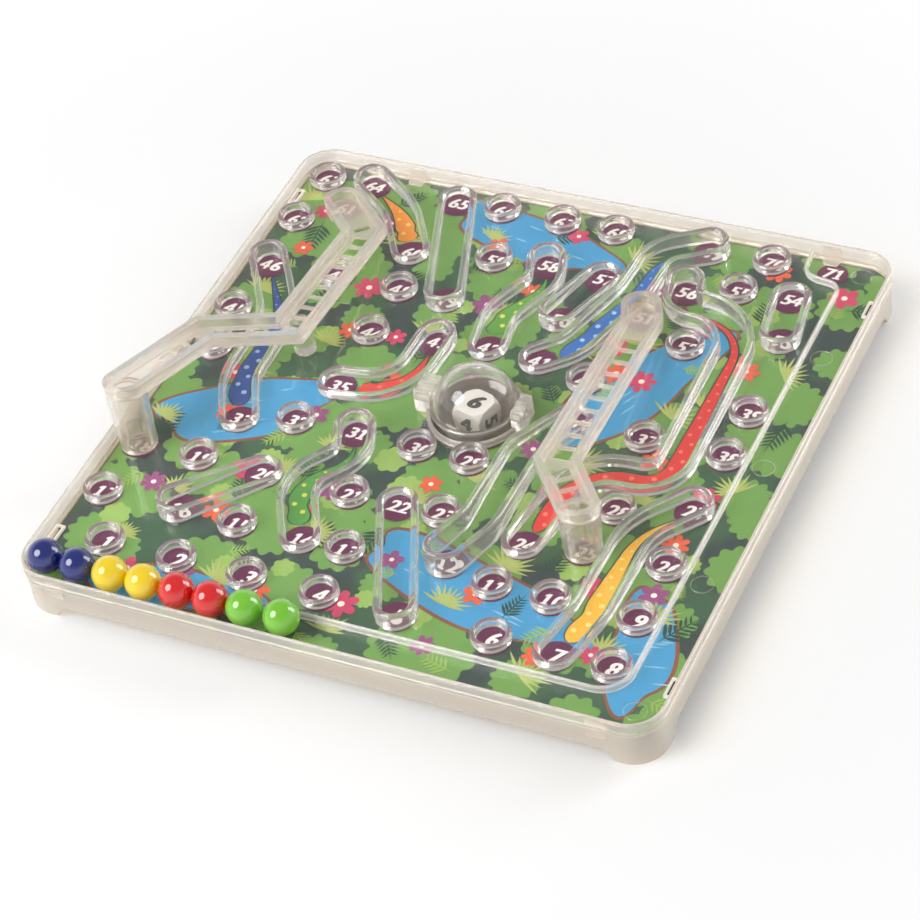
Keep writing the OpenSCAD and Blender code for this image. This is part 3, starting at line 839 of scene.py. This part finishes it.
# Digits with a shape of their own: outline and counter as shares of the number's size
DRAWN_DIGITS = {
    "1": (((-0.14, 0.2), (-0.14, 0.28), (0.0, 0.39), (0.08, 0.39), (0.08, -0.21), (0.17, -0.21),
           (0.17, -0.3), (-0.13, -0.3), (-0.13, -0.21), (-0.03, -0.21), (-0.03, 0.26)), ()),
    "4": (((0.06, 0.39), (-0.24, -0.02), (-0.24, -0.13), (0.06, -0.13), (0.06, -0.3), (0.15, -0.3),
           (0.15, -0.13), (0.23, -0.13), (0.23, -0.02), (0.15, -0.02), (0.15, 0.39)),
          ((0.06, -0.02), (0.06, 0.24), (-0.13, -0.02))),
}
CARD_CORNER = CORNER_RADIUS - HALF + CARD_HALF
SEED = 11
pick = random.Random(SEED)


def kept_on_card(point):
    """The point, pulled inside the rounded edge of the card and outside the capsule opening."""
    limit = CARD_HALF - INK_MARGIN
    x = max(-limit, min(limit, point.x))
    y = max(-limit, min(limit, point.y))
    straight = CARD_HALF - CARD_CORNER
    out = Vector((max(0, abs(x) - straight), max(0, abs(y) - straight)))
    if out.length > CARD_CORNER - INK_MARGIN:
        out = out.normalized() * (CARD_CORNER - INK_MARGIN)
        x = math.copysign(straight + out.x, x)
        y = math.copysign(straight + out.y, y)
    from_capsule = Vector((x, y)) - CAPSULE
    if from_capsule.length < OPENING_RADIUS + INK_MARGIN:
        return CAPSULE + from_capsule.normalized() * (OPENING_RADIUS + INK_MARGIN)
    return Vector((x, y))


def holds(outline, place):
    """True where the place lies inside the outline."""
    inside = False
    for a, b in zip(outline, outline[1:] + outline[:1]):
        if (a.y > place.y) != (b.y > place.y):
            crossing = a.x + (place.y - a.y) / (b.y - a.y) * (b.x - a.x)
            if crossing > place.x:
                inside = not inside
    return inside


def bush(centre, size, lobes, phase):
    """Outline of a scalloped bush."""
    outline = []
    for k in range(PLANT_STEPS):
        angle = TAU * k / PLANT_STEPS
        swell = 0.8 + 0.2 * abs(math.sin(lobes * angle / 2 + phase))
        outline.append(centre + direction(angle) * size * swell)
    return outline


def pond(centre, long, wide, turn, phase):
    """Outline of a pond with a gently waving bank."""
    outline = []
    for k in range(PLANT_STEPS):
        angle = TAU * k / PLANT_STEPS
        wave = 1 + 0.1 * math.sin(3 * angle + phase) + 0.06 * math.sin(5 * angle + 2 * phase)
        local = Vector((long * math.cos(angle), wide * math.sin(angle))) * wave
        outline.append(centre + Matrix.Rotation(turn, 2) @ local)
    return outline


def leaf(base, angle, length, width):
    """Outline of a pointed oval leaf."""
    run = direction(angle)
    side = left_of(run)
    steps = [k / 10 for k in range(11)]
    reaches = [side * width / 2 * math.sin(math.pi * t ** 0.85) for t in steps]
    middles = [base + run * length * t for t in steps]
    upper = [middle + reach for middle, reach in zip(middles, reaches)]
    lower = [middle - reach for middle, reach in zip(middles, reaches)][1:-1]
    return upper + lower[::-1]


def sprig(base, angle, length, pairs):
    """Outlines of a stem and its pairs of leaves."""
    run = direction(angle)
    outlines = [leaf(base, angle, length * 1.2, 0.8)]
    for k in range(pairs):
        along = length * (0.2 + 0.8 * k / pairs)
        size = length * (0.46 - 0.24 * k / pairs)
        for side in (-1, 1):
            outlines.append(leaf(base + run * along, angle + side * 0.9, size, size * 0.2))
    return outlines


def blossom(centre, radius, petals, phase):
    """Outline of a flower with round petals."""
    outline = []
    for k in range(PETAL_STEPS):
        angle = TAU * k / PETAL_STEPS
        swell = 0.42 + 0.58 * abs(math.cos(petals * angle / 2 + phase)) ** 0.6
        outline.append(centre + direction(angle) * radius * swell)
    return outline


def spread(step, jitter):
    """Places over the card on a shaken grid."""
    count = int(CARD_HALF // step)
    places = []
    for i in range(-count, count + 1):
        for j in range(-count, count + 1):
            shake = Vector((pick.uniform(-jitter, jitter), pick.uniform(-jitter, jitter)))
            places.append(Vector((i * step, j * step)) + shake)
    return places


def even_walk(stations, step):
    """Places with left-hand normals at even steps along a line."""
    walked = []
    left_over = 0.0
    for (a, normal_a), (b, normal_b) in zip(stations, stations[1:]):
        length = (b - a).length
        along = left_over
        while along < length:
            share = along / length
            walked.append((a.lerp(b, share), normal_a.lerp(normal_b, share).normalized()))
            along += step
        left_over = along - length
    return walked


def ribbon(walk, half_width):
    """Outline of a ribbon whose half width follows its place along the walk."""
    last = len(walk) - 1
    left = [p + n * half_width(k / last) for k, (p, n) in enumerate(walk)]
    right = [p - n * half_width(k / last) for k, (p, n) in enumerate(walk)]
    return left + right[::-1]


def snake_width(share):
    """Half width of a snake's body, from a thin tail to a blunt head."""
    rest = 1 - share
    head = math.sqrt(max(0.0, 1 - ((rest - 0.1) / 0.1) ** 2)) if rest < 0.1 else 1
    neck = 1 - 0.22 * math.exp(-((rest - 0.2) / 0.06) ** 2)
    return max(0.2, 4.3 * head * neck * min(1, 1.3 * share + 0.05))


def snake_outlines(waypoints, bends):
    """A snake along its channel: its body, a dark edge round it and spots on its back."""
    inside = even_walk(centre_line(waypoints, bends), 1.0)[8:-8]
    last = len(inside) - 1
    body = ribbon(inside, snake_width)
    edge = ribbon(inside, lambda share: snake_width(share) + 0.6)
    spots = []
    for k in range(8, last - 4, 5):
        width = snake_width(k / last)
        place, normal = inside[k]
        side = 1 if k % 2 else -1
        spots.append(circle(place + normal * side * 0.4 * width, 0.28 * width, 16))
    return body, edge, spots


def number_places():
    """The printed numbers with their places."""
    places = {FINISH_NUMBER: FINISH_PLACE}
    for node, numbers in RING_NUMBERS.items():
        places.update(zip(numbers, ring_places(node)))
    for line, *sizes, ends in (*CHANNELS.values(), *CHUTES.values()):
        places.update(zip(ends, (Vector(line[0]), Vector(line[-1]))))
    return places


GREEN = srgb(112, 158, 80)
LIGHT_GREEN = srgb(150, 184, 96)
FERN = srgb(176, 190, 110)
DEEP_GREEN = srgb(42, 74, 58)
SLATE = srgb(54, 70, 68)
MOSS = srgb(60, 94, 68)
WATER = srgb(70, 156, 206)
RIPPLE = srgb(140, 196, 226)
BARK = srgb(138, 86, 62)
MAGENTA = srgb(206, 66, 106)
PLUM = srgb(150, 76, 130)
ORANGE = srgb(228, 98, 66)
PALE = srgb(252, 240, 224)
PURPLE = srgb(100, 32, 76)
WHITE = srgb(250, 246, 246)
PAPER = srgb(186, 178, 168)
SNAKES = {
    "snake_27": ((240, 186, 62), (250, 222, 130)),
    "snake_31": ((84, 150, 66), (206, 208, 96)),
    "snake_43": ((220, 64, 60), (240, 120, 100)),
    "snake_46": ((52, 82, 158), (150, 190, 232)),
    "snake_56": ((222, 62, 58), (244, 130, 110)),
    "snake_58": ((98, 160, 66), (222, 216, 100)),
    "snake_64": ((238, 152, 54), (250, 206, 110)),
    "snake_69": ((58, 112, 192), (170, 212, 242)),
}


def print_layer(name, colour, outlines, level):
    """A layer of ink, its items at slightly different heights so that no two faces coincide."""
    low = SHEET_TOP + level * LAYER
    shapes = []
    clear_of_capsule = [outline for outline in outlines if not holds(outline, CAPSULE)]
    for k, outline in enumerate(clear_of_capsule):
        high = low + INK_DEPTH + k % ITEM_STEPS * ITEM_STEP
        shapes.append(slab([kept_on_card(p) for p in outline], low, high))
    material = ink("ink_" + name, colour)
    add_piece("print_" + name, merged(shapes), material, sharp=20)


def add_sheet():
    outline = rounded_square(CARD_HALF, CARD_CORNER)
    hole = circle(CAPSULE, OPENING_RADIUS, FINE_CIRCLE)
    middle = (CARD_LOW + SHEET_TOP) / 2
    ground = ground_ink("ink_ground", SLATE, MOSS)
    front = add_piece("card_front", plate(outline, [hole], middle, SHEET_TOP), ground)
    back_shape = plate(outline, [hole], CARD_LOW + 2 * AIR, middle - AIR)
    add_piece("card_back", back_shape, ink("card_paper", PAPER))
    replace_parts(front, "card")


def scattered_ponds():
    """Outlines of the banks, the water and the ripples of ponds."""
    ponds = [(Vector((-92, -18)), 36, 17, 0.5, 0.4), (Vector((40, -84)), 52, 15, -0.25, 1.1),
             (Vector((58, 40)), 44, 15, 1.1, 2.0), (Vector((-20, 112)), 40, 13, -0.2, 0.7),
             (Vector((-70, -118)), 38, 10, 0.1, 2.6), (Vector((112, -92)), 12, 30, 0.2, 1.7)]
    banks = [pond(c, long + 1.5, wide + 1.5, turn, phase) for c, long, wide, turn, phase in ponds]
    waters = [pond(*values) for values in ponds]
    ripples = []
    for centre, long, wide, turn, phase in ponds:
        for k in range(9):
            local = Vector((pick.uniform(-0.7, 0.6) * long, pick.uniform(-0.7, 0.7) * wide))
            start = centre + Matrix.Rotation(turn, 2) @ local
            ripples.append(leaf(start, turn, pick.uniform(5, 10), 0.8))
    return banks, waters, ripples


def tuft(base, angle, length):
    """Outlines of a tuft of thin grass blades."""
    turns = [angle + 0.28 * k for k in range(-5, 6)]
    return [leaf(base, turn, length * pick.uniform(0.75, 1.1), 1.3) for turn in turns]


def add_artwork():
    """A generic jungle clearing: bushes, ponds, ferns, grass and flowers."""
    bushes = [bush(p, pick.uniform(9, 16), pick.randint(9, 14), pick.uniform(0, 3))
              for p in spread(25, 10)]
    lights = [bush(p, pick.uniform(4, 8), pick.randint(7, 11), pick.uniform(0, 3))
              for p in spread(34, 14)]
    banks, waters, ripples = scattered_ponds()
    roots = spread(23, 10)
    ferns = [o for p in roots[::3] for o in sprig(p, pick.uniform(0, TAU), pick.uniform(12, 18), 6)]
    tufts = [o for p in roots[1::3] for o in tuft(p, pick.uniform(0.6, 2.5), pick.uniform(8, 13))]
    pale_ferns = [o for p in roots[2::3]
                  for o in sprig(p, pick.uniform(0, TAU), pick.uniform(9, 14), 5)]
    flowers = [(p, pick.uniform(4.6, 7.4), pick.randint(5, 7), pick.uniform(0, 3))
               for p in spread(36, 15)]
    blossoms = [blossom(*flower) for flower in flowers]
    hearts = [circle(p, size * 0.2, 20) for p, size, petals, phase in flowers]
    layers = [
        ("bushes", GREEN, bushes),
        ("light_bushes", LIGHT_GREEN, lights),
        ("banks", BARK, banks),
        ("ponds", WATER, waters),
        ("ripples", RIPPLE, ripples),
        ("ferns", DEEP_GREEN, ferns),
        ("tufts", FERN, tufts),
        ("pale_ferns", LIGHT_GREEN, pale_ferns),
        ("magenta_flowers", MAGENTA, blossoms[::3]),
        ("plum_flowers", PLUM, blossoms[1::3]),
        ("orange_flowers", ORANGE, blossoms[2::3]),
        ("flower_hearts", PALE, hearts),
    ]
    for level, (name, colour, outlines) in enumerate(layers):
        print_layer(name, colour, outlines, level)
    return len(layers)


def add_snakes(level):
    for name, (body_colour, spot_colour) in SNAKES.items():
        line, bends, high, ends = CHANNELS[name]
        body, edge, spots = snake_outlines(line, bends)
        print_layer(name + "_edge", DEEP_GREEN, [edge], level)
        print_layer(name + "_body", srgb(*body_colour), [body], level + 1)
        print_layer(name + "_spots", srgb(*spot_colour), spots, level + 2)
    return level + 3


def drawn_digit(digit, size, depth):
    """The mesh of a digit with a shape of its own, centred on the origin."""
    loops = [[Vector((x + SLANT * y, y)) * size for x, y in loop] for loop in DRAWN_DIGITS[digit]]
    counters = [loop for loop in loops[1:] if loop]
    return new_mesh("digit", *plate(loops[0], counters, -depth / 2, depth / 2))


def typed_digit(digit, size, depth):
    """The mesh of a digit of the plain font, centred on the origin."""
    text = bpy.data.curves.new("digit", "FONT")
    text.body = digit
    text.size = size
    text.align_x = text.align_y = "CENTER"
    text.shear = SLANT
    text.offset = size * 0.012
    text.extrude = depth / 2
    holder = place_object("digit", text)
    bpy.context.view_layer.update()
    mesh = bpy.data.meshes.new_from_object(holder.evaluated_get(bpy.context.evaluated_depsgraph_get()))
    mesh.transform(Matrix.Scale(MM, 4))
    bpy.data.objects.remove(holder)
    bpy.data.curves.remove(text)
    return mesh


def add_numbers(name, placed, depth, boldness, material, body="board"):
    """One piece from sized and placed numbers, each printed a few times to look bold."""
    joined = bmesh.new()
    for number, size, placing in placed:
        digits = str(number)
        for k, digit in enumerate(digits):
            make_digit = drawn_digit if digit in DRAWN_DIGITS else typed_digit
            place = (k - (len(digits) - 1) / 2) * DIGIT_PITCH * size
            for pass_number in range(BOLD_PASSES):
                shift = place + (pass_number - (BOLD_PASSES - 1) / 2) * boldness * size
                mesh = make_digit(digit, size, depth + (k * BOLD_PASSES + pass_number) * ITEM_STEP)
                mesh.transform(placing @ Matrix.Translation((shift * MM, 0, 0)))
                joined.from_mesh(mesh)
                bpy.data.meshes.remove(mesh)
    bmesh.ops.recalc_face_normals(joined, faces=joined.faces)
    mesh = bpy.data.meshes.new(name)
    joined.to_mesh(mesh)
    joined.free()
    mesh.materials.clear()
    mesh.materials.append(material)
    piece = place_object(name, mesh)
    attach(piece, body)


def add_number_discs(level):
    places = number_places()
    radii = {FINISH_NUMBER: FINISH_DISC}
    discs = [circle(p, radii.get(number, DISC_RADIUS)) for number, p in places.items()]
    print_layer("discs", PURPLE, discs, level)
    height = SHEET_TOP + (level + 1.5) * LAYER
    hole = circle(CAPSULE, OPENING_RADIUS + CAPSULE_RIM_GAP, FINE_CIRCLE)
    rim = plate(circle(CAPSULE, CAPSULE_RIM, FINE_CIRCLE), [hole], height, height + NUMBER_DEPTH)
    add_piece("print_capsule_rim", rim, ink("ink_capsule_rim", srgb(92, 84, 76)))
    placed = []
    for number, p in places.items():
        size = NUMBER_SIZE if number < 10 else NUMBER_SIZE * TWO_DIGIT_SHARE
        placed.append((number, size, Matrix.Translation(Vector((p.x, p.y, height)) * MM)))
    material = ink("ink_numbers", WHITE)
    add_numbers("print_numbers", placed, NUMBER_DEPTH, NUMBER_BOLDNESS, material)


def add_clip_shadows(level):
    """Painted shade: dark ink printed on the card under the clip slots, for the dark seen through the
    openings.
    """
    print_layer("clip_painted_shade", srgb(36, 44, 38), clip_slots(), level)


# Die numerals: number, then its right, up and outward directions in the die's own axes
DIE_FACES = (
    (6, (1, 0, 0), (0, 1, 0), (0, 0, 1)),
    (1, (1, 0, 0), (0, -1, 0), (0, 0, -1)),
    (4, (1, 0, 0), (0, 0, 1), (0, -1, 0)),
    (3, (-1, 0, 0), (0, 0, 1), (0, 1, 0)),
    (5, (0, 0, -1), (0, 1, 0), (1, 0, 0)),
    (2, (0, 0, 1), (0, 1, 0), (-1, 0, 0)),
)
DIE_SIZE = 14
DIE_TURN = math.radians(-14)
DIE_NUMBER_SIZE = 10.5
DIE_NUMBER_DEPTH = 0.03
DIE_NUMBER_GAP = 0.02
DIE_BOLDNESS = 0.055


def add_die_numbers():
    low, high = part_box("die")
    seat = Matrix.Translation((low + high) / 2) @ Matrix.Rotation(DIE_TURN, 4, "Z")
    placed = []
    for number, right, up, out in DIE_FACES:
        face = Matrix((right, up, out)).transposed().to_4x4()
        face.translation = Vector(out) * (DIE_SIZE / 2 + DIE_NUMBER_GAP) * MM
        placed.append((number, DIE_NUMBER_SIZE, seat @ face))
    material = ink("ink_die", srgb(8, 8, 9))
    add_numbers("die_numbers", placed, DIE_NUMBER_DEPTH, DIE_BOLDNESS, material, "die")


add_sheet()
level = add_artwork()
level = add_snakes(level)
add_clip_shadows(level)
add_number_discs(level)
add_die_numbers()

# Floor, light and camera
CAMERA_AT = Vector((489.8, -809.9, 894.2))
CAMERA_AIM = Vector((6.05, -20.9, 14.5))
CAMERA_ROLL = math.radians(-10.06)
LENS = 126.8
SENSOR_WIDTH = 36
CAMERA_RANGE = (0.05, 20)
FLOOR_SIZE = 6000
FLOOR_LEVEL = -0.05
FADE_RANGE = (200, 340)
LAMP_DISTANCE = 1300


def fade_to_white(material, shader, near, far):
    """Away from the board the paper is plain white, also in reflections and through plastic."""
    place = add_node(material, "TexCoord")
    distance = add_node(material, "VectorMath")
    distance.operation = "LENGTH"
    span = add_node(material, "MapRange")
    set_inputs(span, {"From Min": near * MM, "From Max": far * MM})
    link(material, place.outputs["Object"], distance.inputs[0])
    link(material, distance.outputs["Value"], span.inputs["Value"])
    path = add_node(material, "LightPath")
    seen = path.outputs["Is Camera Ray"]
    for kind in ("Is Glossy Ray", "Is Transmission Ray"):
        seen = combined(material, "MAXIMUM", seen, path.outputs[kind])
    share = combined(material, "MULTIPLY", span.outputs["Result"], seen)
    white = add_node(material, "Emission")
    blend_shaders(material, share, shader.outputs["BSDF"], white.outputs["Emission"])


def add_floor():
    corner = FLOOR_SIZE / 2
    points = [(x * corner, y * corner, FLOOR_LEVEL) for x, y in SQUARE]
    mesh = new_mesh("floor", points, [(0, 1, 2, 3)])
    material, shader = new_material("floor_paper")
    set_inputs(shader, {"Base Color": srgb(250, 250, 250)})
    vary_roughness(material, shader, noise(material, 40, 2), 0.7, 0.9)
    fade_to_white(material, shader, *FADE_RANGE)
    mesh.materials.append(material)
    place_object("floor", mesh)


def add_softbox(name, shape, toward, size, power):
    """An area lamp that faces the board."""
    lamp = bpy.data.lights.new(name, "AREA")
    lamp.shape = shape
    lamp.size, lamp.size_y = (side * MM for side in size)
    lamp.energy = power
    holder = place_object(name, lamp)
    way = Vector(toward).normalized()
    holder.location = way * LAMP_DISTANCE * MM
    holder.rotation_mode = "QUATERNION"
    holder.rotation_quaternion = way.to_track_quat("Z", "Y")


def add_world():
    """A studio with white walls and a dimmer ceiling."""
    world = bpy.data.worlds.new("studio")
    world.use_nodes = True
    place = add_node(world, "TexCoord")
    parts = add_node(world, "SeparateXYZ")
    link(world, place.outputs["Generated"], parts.inputs["Vector"])
    light = colour_ramp(world, parts.outputs["Z"], (0.25, (1, 1, 1, 1)), (0.65, (0.35, 0.35, 0.35, 1)))
    link(world, light, world.node_tree.nodes["Background"].inputs["Color"])
    bpy.context.scene.world = world


def add_camera():
    camera = bpy.data.cameras.new("camera")
    camera.lens = LENS
    camera.sensor_width = SENSOR_WIDTH
    camera.clip_start, camera.clip_end = CAMERA_RANGE
    holder = place_object("camera", camera)
    look = (CAMERA_AIM - CAMERA_AT).to_track_quat("-Z", "Y").to_matrix().to_4x4()
    roll = Matrix.Rotation(CAMERA_ROLL, 4, "Z")
    holder.matrix_world = Matrix.Translation(CAMERA_AT * MM) @ look @ roll
    bpy.context.scene.camera = holder


add_floor()
add_world()
add_softbox("front_left_softbox", "ELLIPSE", (-0.48, -0.53, 0.69), (800, 800), 10.5)
add_softbox("back_right_strip", "RECTANGLE", (0.64, 0.67, 0.38), (500, 1100), 8)
add_camera()
bpy.context.scene.view_settings.view_transform = "Standard"
